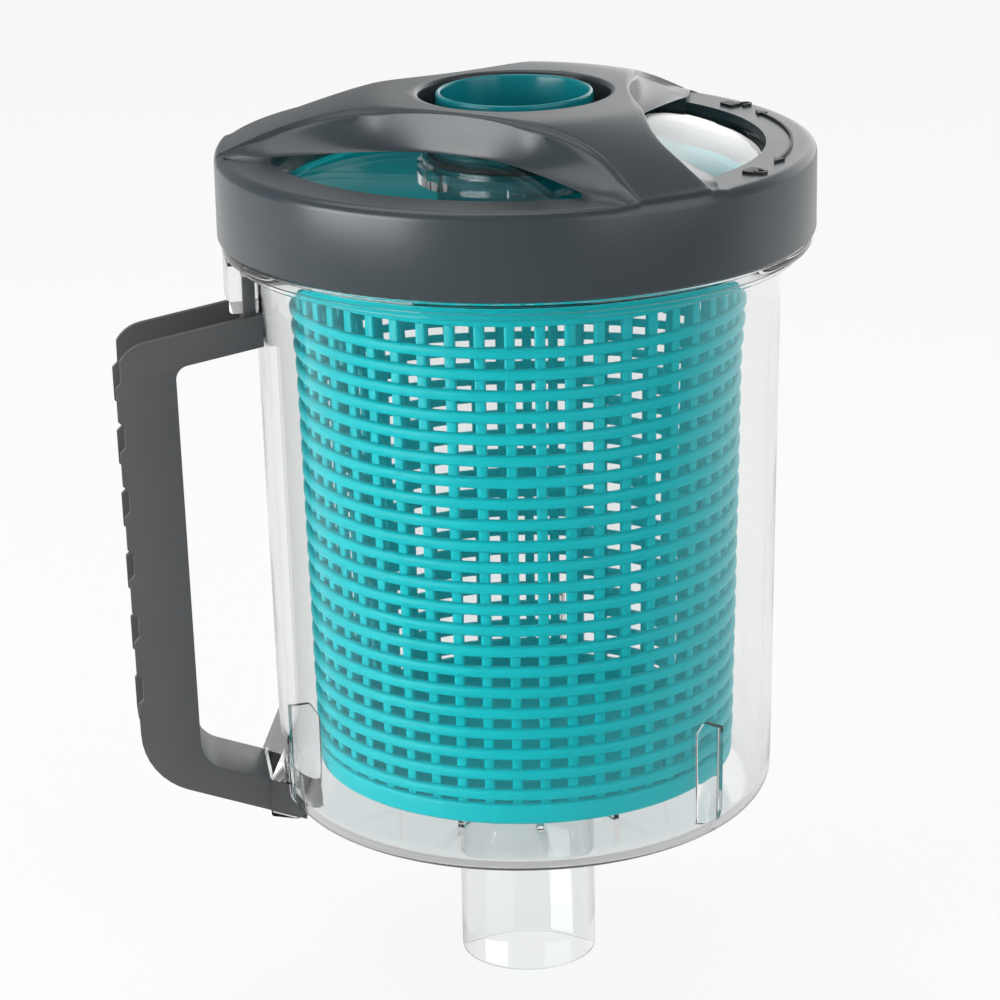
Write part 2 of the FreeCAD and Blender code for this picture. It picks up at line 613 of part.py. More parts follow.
def lid_collar():
    """The dark screw collar with its three arms, eyes and hub, one moulding.

    Inside the land its lower edges stay a step above the window."""
    collar = collar_outer()
    turn = EYE_FIRST_DEG - 90.0
    eyes = spaced(eye_cutter(0, Z_LAND), EYE_COUNT, turn)
    over_window = Part.makeCylinder(EYE_SIDE_R, LAND_THICKNESS + EYE_STEP, Vector(0, 0, Z_LAND_UNDER))
    cavity = collar_cavity()
    for wall in spaced(eye_cutter(SHELL, Z_SKIRT), EYE_COUNT, turn):
        cavity = cavity.cut(wall)
    skirt = Part.makeCylinder(COLLAR_BORE_R, Z_LAND_UNDER - Z_SKIRT, Vector(0, 0, Z_SKIRT))
    for cutter in eyes + [over_window, cavity, skirt]:
        collar = collar.cut(cutter)
    lug_root = COLLAR_BORE_R + COLLAR_WALL / 4
    lug_z = Z_FLANGE_TOP + THREAD_BASE - THREAD_GAP - THREAD_HEIGHT
    lug_z += THREAD_LEAD * LUG_FROM_DEG / 360.0
    lug = helix_ridge(lug_root, COLLAR_BORE_R - THREAD_DEPTH, lug_z, LUG_ARC_DEG)
    collar = collar.fuse(spaced(lug, THREAD_STARTS, LUG_FROM_DEG))
    return one_solid(collar)


def lid_window():
    """The clear plate under the collar, with a groove for the O-ring round its central hole."""
    window = tube(INLET_R + INLET_FIT, WINDOW_R, Z_WINDOW, Z_WINDOW_TOP)
    section = ORING_SECTION_R
    groove = tube(ORING_R - section, ORING_R + section, Z_WINDOW_TOP - 2 * section, Z_WINDOW_TOP)
    return one_solid(window.cut(groove))


def lid_seal():
    """The flat rubber ring between the neck and the window."""
    return tube(NECK_R - NECK_WALL, NECK_R - WINDOW_GAP, Z_NECK_TOP, Z_WINDOW)


def inlet_tube():
    """The teal inlet tube, which a hose cuff pushes into, with the flange that sits on the window."""
    top = Z_HUB + INLET_TOP
    bottom = Z_WINDOW - INLET_REACH
    pipe = tube(INLET_R - INLET_WALL, INLET_R, bottom, top)
    flange = tube(INLET_R - INLET_WALL / 2, INLET_FLANGE_R, Z_WINDOW_TOP, Z_WINDOW_TOP + INLET_FLANGE)
    return one_solid(pipe.fuse(flange))


def inlet_o_ring():
    """The rubber ring in the window's groove, under the tube's flange."""
    centre = Vector(0, 0, Z_WINDOW_TOP - ORING_SECTION_R)
    return Part.makeTorus(ORING_R, ORING_SECTION_R, centre)


def inlet_lock_ring():
    """The notched ring under the window that holds the inlet tube."""
    ring = tube(INLET_R + INLET_FIT, LOCK_RING_R, Z_WINDOW - LOCK_RING_HEIGHT, Z_WINDOW)
    base = Vector(LOCK_RING_R, 0, Z_WINDOW - LOCK_RING_HEIGHT)
    notch = Part.makeCylinder(LOCK_NOTCH_R, LOCK_RING_HEIGHT, base)
    return one_solid(ring.cut(Part.makeCompound(spaced(notch, LOCK_NOTCHES))))


PIECES = {
    "canister_body": canister_body,
    "handle": handle,
    "leaf_basket": leaf_basket,
    "lid_collar": lid_collar,
    "lid_window": lid_window,
    "lid_seal": lid_seal,
    "inlet_tube": inlet_tube,
    "inlet_o_ring": inlet_o_ring,
    "inlet_lock_ring": inlet_lock_ring,
}

os.makedirs("parts", exist_ok=True)
for node, make in PIECES.items():
    shape = make()
    box = shape.BoundBox
    print(node, shape.isValid(), len(shape.Solids), "solids", len(shape.Faces), "faces",
          round(shape.Volume / 1000, 1), "cm3", "z", round(box.ZMin, 1), round(box.ZMax, 1))
    shape.exportStep("parts/" + node + ".step")
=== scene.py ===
# %% [markdown]
# A leaf canister for a pool cleaner's hose: a clear moulded can with a side handle, a teal strainer basket that
# stands in it, and a charcoal screw lid with three arms and three windows round a teal inlet tube.
# The solids are measured and packed already. Each step here dresses one of them with the form and finish that
# the eye sees. We start by loading the solids.

# %% Load the solids
import bpy
import math
from mathutils import Matrix, Vector


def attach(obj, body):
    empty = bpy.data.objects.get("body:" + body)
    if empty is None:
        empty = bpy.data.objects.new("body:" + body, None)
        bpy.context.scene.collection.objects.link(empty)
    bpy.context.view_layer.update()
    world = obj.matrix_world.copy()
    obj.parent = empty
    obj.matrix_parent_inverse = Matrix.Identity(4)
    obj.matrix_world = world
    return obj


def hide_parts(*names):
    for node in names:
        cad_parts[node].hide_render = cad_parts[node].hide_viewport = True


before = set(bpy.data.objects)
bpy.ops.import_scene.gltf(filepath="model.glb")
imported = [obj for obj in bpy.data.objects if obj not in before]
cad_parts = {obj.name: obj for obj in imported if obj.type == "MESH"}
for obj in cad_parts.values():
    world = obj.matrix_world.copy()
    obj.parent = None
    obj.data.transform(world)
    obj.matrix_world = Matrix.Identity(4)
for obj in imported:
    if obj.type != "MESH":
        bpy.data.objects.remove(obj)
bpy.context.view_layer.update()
scene = bpy.context.scene
scene.view_settings.view_transform = "Standard"
MM = 0.001
print("solids:", sorted(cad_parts))

# %% [markdown]
# The camera comes first, because every comparison with the photograph needs it. Its place was worked out from
# the circles of the lid, the hub, the inlet tube and the spigot: about 1.1 m away, half a metre up, looking down
# by 18 degrees, with a long lens and about a degree of roll.

# %% Camera
CAMERA_AWAY = 1.0957
CAMERA_UP = 0.5246
CAMERA_TILT = 71.524
CAMERA_TURN = 0.365
CAMERA_ROLL = -1.124
CAMERA_LENS = 127.55

bpy.ops.object.camera_add()
camera = bpy.context.object
camera.name = "camera"
camera.data.lens = CAMERA_LENS
turn = Matrix.Rotation(math.radians(CAMERA_TURN), 4, "Z")
tilt = Matrix.Rotation(math.radians(CAMERA_TILT), 4, "X")
roll = Matrix.Rotation(math.radians(CAMERA_ROLL), 4, "Z")
camera.matrix_world = Matrix.Translation((0, -CAMERA_AWAY, CAMERA_UP)) @ turn @ tilt @ roll
scene.camera = camera
print("camera", [round(v, 3) for v in camera.location])

# %% [markdown]
# Materials need a way to write colours and nodes. Colours are written as they look on a screen, as sRGB hex, and
# one function turns them to the linear values that a shader works in. One small function adds a node.

# %% Colour and node helpers
def linear(hex_colour, alpha=1.0):
    """An sRGB hex colour as the linear RGBA that shaders use."""
    parts = [int(hex_colour[i:i + 2], 16) / 255 for i in (1, 3, 5)]
    return tuple(c / 12.92 if c <= 0.04045 else ((c + 0.055) / 1.055) ** 2.4 for c in parts) + (alpha,)


def add_node(tree, kind, settings=None, links=None):
    """Add a node. Settings go to its sockets or properties, links join sockets to other nodes' outputs."""
    node = tree.nodes.new(kind)
    for key, value in (settings or {}).items():
        if isinstance(key, int) or key in node.inputs:
            node.inputs[key].default_value = value
        else:
            setattr(node, key, value)
    for key, output in (links or {}).items():
        tree.links.new(output, node.inputs[key])
    return node


def new_material(name):
    """An empty node material and its tree, with only the output."""
    material = bpy.data.materials.new(name)
    material.use_nodes = True
    tree = material.node_tree
    tree.nodes.clear()
    return material, tree


print("white is", linear("#ffffff"))

# %% [markdown]
# A moulded plastic surface is never quite even. Three things show close up: a fine grain from the mould, which
# is bump, a slow change of gloss where the plastic cooled, and a very slight change of colour. The grain of a
# satin mould is about 0.3 mm. It is drawn at 0.6 mm here, because finer would not show.

# %% Moulded plastics
def moulded(name, colour, deep_colour, roughness, grain_mm, grain_depth, **shader):
    """A moulded plastic with mould grain, slow gloss changes and a slight change of colour."""
    material, tree = new_material(name)
    place = add_node(tree, "ShaderNodeTexCoord").outputs["Object"]
    slow = add_node(tree, "ShaderNodeTexNoise", {"Scale": 1 / (45 * MM), "Detail": 2.0}, {"Vector": place})
    tint = add_node(tree, "ShaderNodeMix", {"data_type": "RGBA", 6: linear(deep_colour), 7: linear(colour)},
                    {0: slow.outputs[0]})
    gloss = add_node(tree, "ShaderNodeMapRange", {3: roughness - 0.05, 4: roughness + 0.05}, {0: slow.outputs[0]})
    grain = add_node(tree, "ShaderNodeTexNoise", {"Scale": 1 / (grain_mm * MM), "Detail": 3.0}, {"Vector": place})
    bump = add_node(tree, "ShaderNodeBump", {"Strength": 1.0, "Distance": grain_depth * MM},
                    {"Height": grain.outputs[0]})
    surface = add_node(tree, "ShaderNodeBsdfPrincipled", shader,
                       {"Base Color": tint.outputs[2], "Roughness": gloss.outputs[0], "Normal": bump.outputs[0]})
    add_node(tree, "ShaderNodeOutputMaterial", links={"Surface": surface.outputs[0]})
    return material


# Charcoal ABS, satin from a lightly textured mould: broad soft highlights
lid_plastic = moulded("charcoal_abs_satin", "#394044", "#343b3f", 0.27, 0.6, 0.005)
# The handle's polypropylene has a coarser mould texture, so it looks matte and warmer
handle_plastic = moulded("charcoal_polypropylene_matte", "#505153", "#4a4b4d", 0.4, 0.8, 0.012)
# Thin teal polypropylene scatters some light under its surface. An even teal emission on top is a painted glow, which
# keeps its shadows and its inside bright and coloured
TEAL_SUBSURFACE_AND_PAINTED_GLOW = {"Subsurface Weight": 0.5, "Subsurface Radius": (0.2, 1.0, 1.0), "Subsurface Scale": 3.5 * MM,
             "Specular IOR Level": 0.15, "Emission Color": linear("#009aa0"), "Emission Strength": 0.24}
basket_plastic = moulded("teal_polypropylene", "#00a2a8", "#009aa0", 0.34, 1.5, 0.01, **TEAL_SUBSURFACE_AND_PAINTED_GLOW)
tube_plastic = moulded("teal_polypropylene_gloss", "#0d7f88", "#0b7780", 0.2, 2.0, 0.004)
# Black nitrile rubber, matte with a faint bloom
seal_rubber = moulded("black_nitrile_rubber", "#1d1e1f", "#242526", 0.6, 0.5, 0.01)
# Raised turn marks: the lid's plastic, made darker and rougher
mark_plastic = moulded("charcoal_abs_mark", "#2b2e30", "#26292b", 0.4, 0.6, 0.004)
print("moulded plastics:", [m.name for m in bpy.data.materials][-6:])

# %% [markdown]
# The can and the window are clear SAN, a stiff glassy plastic that bends light by an index of 1.5. A moulded clear
# wall has faint flow waves, a few centimetres apart, which bend what is seen through it. It has a very slight
# grey tint. A glass shader would throw a full shadow on the basket, so rays that only look for light pass through.

# %% Clear plastics
def clear(name, tint, roughness, wave_depth, ior=1.5):
    """A clear moulded plastic that lets light through to what stands inside it."""
    material, tree = new_material(name)
    place = add_node(tree, "ShaderNodeTexCoord").outputs["Object"]
    wave = add_node(tree, "ShaderNodeTexNoise", {"Scale": 1 / (38 * MM), "Detail": 1.0}, {"Vector": place})
    bump = add_node(tree, "ShaderNodeBump", {"Strength": 1.0, "Distance": wave_depth * MM},
                    {"Height": wave.outputs[0]})
    shader = {"Base Color": linear(tint), "Roughness": roughness, "IOR": ior, "Transmission Weight": 1.0,
              "Specular IOR Level": 0.2}
    surface = add_node(tree, "ShaderNodeBsdfPrincipled", shader, {"Normal": bump.outputs[0]})
    through = add_node(tree, "ShaderNodeBsdfTransparent", {"Color": linear("#f4f6f6")})
    ray = add_node(tree, "ShaderNodeLightPath")
    mixed = add_node(tree, "ShaderNodeMixShader", links={
        0: ray.outputs["Is Shadow Ray"], 1: surface.outputs[0], 2: through.outputs[0]})
    add_node(tree, "ShaderNodeOutputMaterial", links={"Surface": mixed.outputs[0]})
    return material


clear_plastic = clear("clear_san_can", "#f9fafa", 0.015, 0.12)
window_plastic = clear("clear_san_window", "#f8fbfb", 0.02, 0.05, 1.3)
# Ribs and sockets that are moulded onto the wall show only as faint lines. This clear bends light very little, but no
# piece here is given it
faint_plastic = clear("clear_san_ribs", "#f6f7f7", 0.03, 0.05, 1.07)
print("clear plastics:", clear_plastic.name, window_plastic.name, faint_plastic.name)

# %% [markdown]
# The photograph was taken in a white room: a large soft box to the right, which the right half of the can
# mirrors, another to the left, and soft light from above. The room is brightest behind the object, low down, and
# greyer at the left and above. The grey sides are what draws the edges of clear plastic, and the grey ceiling is
# what keeps the lid dark. Light that has met a matte surface before sees the room as one even level.

# %% Room and soft boxes
def soft_box(name, place, aim, size, power, shine=1.0):
    """An area light at a place in metres, turned to its aim. Shine scales its highlights."""
    bpy.ops.object.light_add(type="AREA", location=place)
    light = bpy.context.object
    light.name = name
    light.data.shape = "RECTANGLE"
    light.data.size, light.data.size_y = size
    light.data.energy = power
    light.data.specular_factor = shine
    light.rotation_euler = (Vector(aim) - Vector(place)).to_track_quat("-Z", "Y").to_euler()
    return light


MIDDLE = (0.0, 0.0, 0.16)
soft_box("soft_box_right", (1.35, -1.05, 0.5), MIDDLE, (1.7, 1.7), 14, 0.5)
soft_box("soft_box_left", (-1.3, -0.75, 0.2), MIDDLE, (1.2, 1.1), 32, 0.1)
soft_box("soft_box_top", (-0.3, 0.35, 1.45), MIDDLE, (1.0, 0.9), 5, 0.2)

world = bpy.data.worlds.new("white_room")
world.use_nodes = True
scene.world = world
tree = world.node_tree
tree.nodes.clear()
facing = add_node(tree, "ShaderNodeTexCoord").outputs["Generated"]
parts = add_node(tree, "ShaderNodeSeparateXYZ", links={0: facing})
SOFT = {"interpolation_type": "SMOOTHSTEP"}
left = add_node(tree, "ShaderNodeMath", {"operation": "MULTIPLY", 1: -1.0}, {0: parts.outputs["X"]})
right = add_node(tree, "ShaderNodeMath", {"operation": "MULTIPLY", 1: 0.6}, {0: parts.outputs["X"]})
side = add_node(tree, "ShaderNodeMath", {"operation": "MAXIMUM"}, {0: left.outputs[0], 1: right.outputs[0]})
through = add_node(tree, "ShaderNodeMapRange", {1: 0.25, 2: 0.95, 3: 1.0, 4: 0.42, **SOFT}, {0: side.outputs[0]})
behind = add_node(tree, "ShaderNodeMapRange", {1: 0.1, 2: 0.85, 3: 0.05, 4: 1.3, **SOFT}, {0: parts.outputs["Y"]})
low = add_node(tree, "ShaderNodeMapRange", {1: 0.3, 2: 0.7, 3: 1.0, 4: 0.15, **SOFT}, {0: parts.outputs["Z"]})
east = add_node(tree, "ShaderNodeMapRange", {1: -0.1, 2: 0.15, 3: 0.3, 4: 1.4, **SOFT}, {0: parts.outputs["X"]})
mirrored = add_node(tree, "ShaderNodeMath", {"operation": "MULTIPLY"}, {0: behind.outputs[0], 1: low.outputs[0]})
mirrored = add_node(tree, "ShaderNodeMath", {"operation": "MULTIPLY"}, {0: mirrored.outputs[0], 1: east.outputs[0]})
ray = add_node(tree, "ShaderNodeLightPath")
level = add_node(tree, "ShaderNodeMix", {3: 0.55}, {0: ray.outputs["Diffuse Depth"], 2: through.outputs[0]})
level = add_node(tree, "ShaderNodeMix", links={0: ray.outputs["Glossy Depth"], 2: level.outputs[0],
                                               3: mirrored.outputs[0]})
shown = add_node(tree, "ShaderNodeMix", {3: 1.0}, {0: ray.outputs["Is Camera Ray"], 2: level.outputs[0]})
room = add_node(tree, "ShaderNodeBackground", {"Color": linear("#ffffff")}, {"Strength": shown.outputs[0]})
add_node(tree, "ShaderNodeOutputWorld", links={"Surface": room.outputs[0]})

# %% [markdown]
# The floor is white and keeps a soft shadow. To the camera it is mixed with an even white, so that it stays pale.
# What the plastic mirrors of it is dimmed in front of the object, as a photographer does with a dark card, or the
# clear wall would veil the teal behind it with white.

# %% Floor
FLOOR_SIZE = 6.0

bpy.ops.mesh.primitive_grid_add(x_subdivisions=8, y_subdivisions=8, size=FLOOR_SIZE, location=(0, 0, -0.0002))
floor = bpy.context.object
floor.name = "studio_floor"
bpy.ops.object.transform_apply(location=True, rotation=True, scale=True)
floor_white, tree = new_material("white_floor")
matte = add_node(tree, "ShaderNodeBsdfDiffuse", {"Color": linear("#f4f4f4")})
even = add_node(tree, "ShaderNodeEmission", {"Color": linear("#ffffff"), "Strength": 1.0})
ray = add_node(tree, "ShaderNodeLightPath")
watched = add_node(tree, "ShaderNodeMath", {"operation": "MAXIMUM"},
                   {0: ray.outputs["Is Camera Ray"], 1: ray.outputs["Is Transmission Ray"]})
share = add_node(tree, "ShaderNodeMath", {"operation": "MULTIPLY", 1: 0.82}, {0: watched.outputs[0]})
mixed = add_node(tree, "ShaderNodeMixShader", links={0: share.outputs[0], 1: matte.outputs[0], 2: even.outputs[0]})
place = add_node(tree, "ShaderNodeTexCoord").outputs["Object"]
parts = add_node(tree, "ShaderNodeSeparateXYZ", links={0: place})
card = add_node(tree, "ShaderNodeMapRange", {1: -0.3, 2: 0.2, 3: 0.1, 4: 0.9}, {0: parts.outputs["Y"]})
dim = add_node(tree, "ShaderNodeEmission", {"Color": linear("#ffffff")}, {"Strength": card.outputs[0]})
mixed = add_node(tree, "ShaderNodeMixShader", links={0: ray.outputs["Glossy Depth"], 1: mixed.outputs[0], 2: dim.outputs[0]})
add_node(tree, "ShaderNodeOutputMaterial", links={"Surface": mixed.outputs[0]})
floor.data.materials.append(floor_white)

# %% [markdown]
# Most of this product was turned on a lathe in its mould, so most pieces can be made one way: a circle is added,
# its edge is extruded from ring to ring, and each new ring is scaled to its radius. When the last ring falls on
# the first, merging them closes the skin. A few helpers keep the selection and the finish the same for each piece.

# %% Modelling helpers
def deselect_all():
    """Leave edit mode and select nothing, so that an operator acts only on what comes next."""
    if bpy.context.mode != "OBJECT":
        bpy.ops.object.mode_set(mode="OBJECT")
    bpy.ops.object.select_all(action="DESELECT")


def select_only(*pieces):
    """Select these pieces and make the first one active."""
    deselect_all()
    for piece in pieces:
        piece.select_set(True)
    bpy.context.view_layer.objects.active = pieces[0]


def arc(r, z, radius, from_deg, to_deg, steps=5):
    """Points on an arc about (r, z), from one angle to another. 0 is outwards and 90 is up."""
    angles = [math.radians(from_deg + (to_deg - from_deg) * i / steps) for i in range(steps + 1)]
    return [(r + radius * math.cos(a), z + radius * math.sin(a)) for a in angles]


def close_skin(piece):
    """Merge doubled points and turn all faces outwards."""
    select_only(piece)
    bpy.ops.object.transform_apply(location=True, rotation=True, scale=True)
    bpy.ops.object.mode_set(mode="EDIT")
    bpy.ops.mesh.select_all(action="SELECT")
    bpy.ops.mesh.remove_doubles(threshold=0.004 * MM)
    bpy.ops.mesh.normals_make_consistent(inside=False)
    bpy.ops.object.mode_set(mode="OBJECT")


def turned(name, rings, segments=192):
    """A piece of revolution through (radius, height) rings in millimetres."""
    deselect_all()
    r, z = rings[0]
    bpy.ops.mesh.primitive_circle_add(vertices=segments, radius=r * MM, location=(0, 0, z * MM))
    piece = bpy.context.object
    piece.name = name
    bpy.ops.object.mode_set(mode="EDIT")
    bpy.ops.mesh.select_all(action="SELECT")
    for (r0, z0), (r1, z1) in zip(rings, rings[1:]):
        bpy.ops.mesh.extrude_edges_move(TRANSFORM_OT_translate={"value": (0, 0, (z1 - z0) * MM)})
        scale = r1 / r0
        bpy.ops.transform.resize(value=(scale, scale, 1), center_override=(0, 0, z1 * MM))
    close_skin(piece)
    return piece


def join(*pieces):
    """Make one piece of several."""
    select_only(*pieces)
    bpy.ops.object.join()
    return pieces[0]


def apply_modifier(piece, kind, **settings):
    """Add a modifier, set it and apply it."""
    select_only(piece)
    modifier = piece.modifiers.new(kind.lower(), kind)
    for key, value in settings.items():
        setattr(modifier, key, value)
    bpy.ops.object.modifier_apply(modifier=modifier.name)


def combine(piece, tool, operation="UNION"):
    """Join a tool's volume to the piece, or cut it away, and remove the tool."""
    apply_modifier(piece, "BOOLEAN", operation=operation, solver="EXACT", object=tool)
    bpy.data.objects.remove(tool)


def copies_around(piece, count, first_deg=0.0):
    """Copy a piece round the axis at even steps, and join the copies."""
    made = []
    for i in range(count):
        copy = piece.copy()
        copy.data = piece.data.copy()
        copy.data.transform(Matrix.Rotation(math.radians(first_deg + 360 * i / count), 4, "Z"))
        scene.collection.objects.link(copy)
        made.append(copy)
    bpy.data.objects.remove(piece)
    return join(*made)


def finish_piece(piece, material, body, slot, *nodes, smooth_deg=32):
    """Give a piece its shading, finish and body, and let it stand for its solids."""
    piece.data.materials.clear()
    piece.data.materials.append(material)
    select_only(piece)
    bpy.ops.object.transform_apply(location=True, rotation=True, scale=True)
    bpy.ops.object.shade_smooth_by_angle(angle=math.radians(smooth_deg))
    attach(piece, body)
    if nodes:
        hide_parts(*nodes)
    print(piece.name, len(piece.data.polygons), "faces")


# %% [markdown]
# A piece with a flat side view, such as a rib or the handle, starts as a disc whose corner points are moved to the
# outline. Extruding it gives the solid. Corners of the outline are rounded by arcs first.

# %% Flat outlines
def rounded(corners, step_deg=9.0):
    """An outline through (x, z, radius) corners, with an arc at each corner that has a radius."""
    outline = []
    count = len(corners)
    for i, (x, z, radius) in enumerate(corners):
        if radius == 0:
            outline.append((x, z))
            continue
        here = Vector((x, z))
        back = (Vector(corners[i - 1][:2]) - here).normalized()
        on = (Vector(corners[(i + 1) % count][:2]) - here).normalized()
        half = back.angle(on) / 2
        centre = here + (back + on).normalized() * radius / math.sin(half)
        start = here + back * radius / math.tan(half) - centre
        sweep = math.pi - 2 * half
        way = 1 if back.x * on.y - back.y * on.x < 0 else -1
        steps = max(3, round(math.degrees(sweep) / step_deg))
        for k in range(steps + 1):
            point = centre + Matrix.Rotation(way * sweep * k / steps, 2) @ start
            outline.append((point.x, point.y))
    return outline


def plate(name, outline, y0, y1):
    """A solid between two Y positions whose side view is an outline of (x, z) points, in millimetres."""
    deselect_all()
    bpy.ops.mesh.primitive_circle_add(vertices=len(outline), fill_type="NGON")
    piece = bpy.context.object
    piece.name = name
    for vertex, (x, z) in zip(piece.data.vertices, outline):
        vertex.co = Vector((x, y0, z)) * MM
    bpy.ops.object.mode_set(mode="EDIT")
    bpy.ops.mesh.select_all(action="SELECT")
    bpy.ops.mesh.extrude_region_move(TRANSFORM_OT_translate={"value": (0, (y1 - y0) * MM, 0)})
    close_skin(piece)
    return piece


def helix_ridge(name, r_root, r_crest, z, arc_deg, lead=36.0, height=3.0):
    """A ridge of trapezoid section that climbs with the lid thread's lead, extruded a few degrees at a time."""
    slope = height / 4
    side = [(r_root, z), (r_crest, z + slope), (r_crest, z + height - slope), (r_root, z + height)]
    deselect_all()
    bpy.ops.mesh.primitive_circle_add(vertices=4, fill_type="NGON")
    ridge = bpy.context.object
    ridge.name = name
    for vertex, (x, z) in zip(ridge.data.vertices, side):
        vertex.co = Vector((x, 0, z)) * MM
    bpy.ops.object.mode_set(mode="EDIT")
    bpy.ops.mesh.select_all(action="SELECT")
    steps = round(arc_deg / 4)
    climb = lead * MM * arc_deg / 360 / steps
    for _ in range(steps):
        bpy.ops.mesh.extrude_region_move(TRANSFORM_OT_translate={"value": (0, 0, climb)})
        bpy.ops.transform.rotate(value=-math.radians(arc_deg / steps), orient_axis="Z", center_override=(0, 0, 0))
    close_skin(ridge)
    print(name, "ends at", [round(c / MM, 1) for c in ridge.data.vertices[-1].co])
    return ridge


print("a rounded square has", len(rounded([(0, 0, 1), (4, 0, 1), (4, 4, 1), (0, 4, 1)])), "points")

# %% [markdown]
# The can is one clear moulding: spigot, rounded floor, tapered wall, stepped flange and neck. Its skin is drawn as
# one run of rings, up the outside and down the inside, with small radii where the mould has them. Those radii are
# what catch the light on clear plastic.

# %% The can's wall
Z_FLOOR = 60.0
Z_CAN_TOP = 244.0
Z_FLANGE = 246.5
Z_FLANGE_TOP = 250.2
Z_NECK_TOP = 268.0
CAN_R_LOW = 81.2
CAN_R_HIGH = 84.0
CAN_WALL = 2.8
CORNER_R = 9.0
SPIGOT_R = 22.5
SPIGOT_BORE_R = 20.5


def can_radius(z):
    """Outer radius of the can's wall at a height."""
    return CAN_R_LOW + (CAN_R_HIGH - CAN_R_LOW) * (z - Z_FLOOR) / (Z_CAN_TOP - Z_FLOOR)


corner_r = can_radius(Z_FLOOR + CORNER_R)
rings = arc(21.5, 1.0, 1.0, 180, 360, 6)
rings += arc(SPIGOT_R + 2, Z_FLOOR - 2, 2.0, 180, 90, 5)
rings += arc(corner_r - CORNER_R, Z_FLOOR + CORNER_R, CORNER_R, -90, 0, 12)
rings += [(can_radius(z), z) for z in (100, 130, 160, 190, 220)]
rings += arc(CAN_R_HIGH + 1.2, Z_CAN_TOP - 1.2, 1.2, 180, 90, 4)
rings += arc(90.2, Z_CAN_TOP + 0.8, 0.8, -90, 0, 3) + [(91.0, Z_FLANGE - 0.1)]
rings += arc(93.0, Z_FLANGE + 0.8, 0.8, -90, 0, 4) + arc(93.0, Z_FLANGE_TOP - 0.8, 0.8, 0, 90, 4)
rings += [(88.3, Z_FLANGE_TOP), (88.0, Z_FLANGE_TOP + 0.3)] + arc(87.4, Z_NECK_TOP - 0.6, 0.6, 0, 90, 3)
rings += arc(85.6, Z_NECK_TOP - 0.6, 0.6, 90, 180, 3) + [(85.0, 247.3), (84.7, 247.0)]
rings += arc(82.2, 246.0, 1.0, 90, 180, 4)
rings += [(can_radius(z) - CAN_WALL, z) for z in (240, 220, 190, 160, 130, 100)]
rings += arc(corner_r - CORNER_R, Z_FLOOR + CORNER_R, CORNER_R - CAN_WALL, 0, -90, 10)
rings += arc(SPIGOT_BORE_R + 1.5, 61.7, 1.5, 90, 180, 4)
rings.append((SPIGOT_BORE_R, 1.0))
can = turned("clear_can", rings)
print("can rings:", len(rings))

# %% [markdown]
# Twelve low ribs on the floor carry the basket, three tall fins keep it in the middle, and three thread ridges
# climb round the neck. In the mould they are one with the wall. The ribs and the thread are joined to it by volume.
# The fins hardly show in the photograph. They are joined to the can below and share its clear plastic.

# %% Ribs, fins and thread
rib = plate("rib", rounded([(26, 61.5, 0), (50, 61.5, 0), (50, 73.3, 2.5), (26, 73.3, 2.5)]), -1.0, 1.0)
combine(can, copies_around(rib, 12, 275.0))
fin_outline = [(70.6, 61.5, 0), (74.6, 61.5, 0), (80.2, 70.0, 6.0), (80.6, 99.0, 0.5), (73.5, 99.0, 1.5),
               (70.6, 94.0, 4.0)]
fin = plate("fin", rounded(fin_outline), -1.1, 1.1)
apply_modifier(fin, "BEVEL", width=0.8 * MM, segments=4, limit_method="ANGLE", angle_limit=math.radians(60))
fins = copies_around(fin, 3, 320.0)
ridge = helix_ridge("neck_thread", 87.3, 90.6, Z_FLANGE_TOP + 2.3, 100)
combine(can, copies_around(ridge, 3))
print("can with ribs:", len(can.data.polygons))

# %% [markdown]
# The handle is a channel: a web on the finger side and two flanges that open outwards. Its side view is a C with
# sloping arms. The same lines are used again for the channel that is cut out of it, moved inwards by the wall.

# %% The handle's lines
HANDLE_DEG = 188.5
HANDLE_HALF = 13.5
GRIP_DEPTH = 19.1
ARM = 10.3
WEB = 2.6
FLANGE = 2.4
FOOT_X = 75.0
TOP_SLOPE = math.tan(math.radians(-11.1))
LOW_SLOPE = math.tan(math.radians(19.5))
LEAN = math.tan(math.radians(1.0))
GRIP_X = 130.2
TOP_Z = 229.4
LOW_Z = 59.5


def top_line(x, depth):
    """Height of the top arm's edge at x, depth below its outer edge."""
    return TOP_Z - depth * math.hypot(1, TOP_SLOPE) + (x - CAN_R_HIGH) * TOP_SLOPE


def low_line(x, depth):
    """Height of the lower arm's edge at x, depth above its outer edge."""
    return LOW_Z + depth * math.hypot(1, LOW_SLOPE) + (x - CAN_R_LOW) * LOW_SLOPE


def grip_x(z, depth):
    """Place of the grip's edge at a height, depth inside its outer edge."""
    return GRIP_X - depth + (z - TOP_Z) * LEAN


def handle_corner(line, depth, grip_depth):
    """Where an arm's edge meets the grip's edge."""
    x = GRIP_X - grip_depth
    for _ in range(6):
        x = grip_x(line(x, depth), grip_depth)
    return x, line(x, depth)


def handle_side(grow=0.0):
    """The handle's C as an outline, its skin moved outwards by grow."""
    corners = [(FOOT_X, top_line(FOOT_X, ARM + grow), 0)]
    corners.append(handle_corner(top_line, ARM + grow, GRIP_DEPTH + grow) + (max(4.5 - grow, 0.5),))
    corners.append(handle_corner(low_line, ARM + grow, GRIP_DEPTH + grow) + (max(10.0 - grow, 0.5),))
    corners.append((FOOT_X, low_line(FOOT_X, ARM + grow), 0))
    corners.append((FOOT_X, low_line(FOOT_X, -grow), 0))
    corners.append(handle_corner(low_line, -grow, -grow) + (22.0,))
    corners.append(handle_corner(top_line, -grow, -grow) + (12.0,))
    corners.append((FOOT_X, top_line(FOOT_X, -grow), 0))
    return rounded(corners)


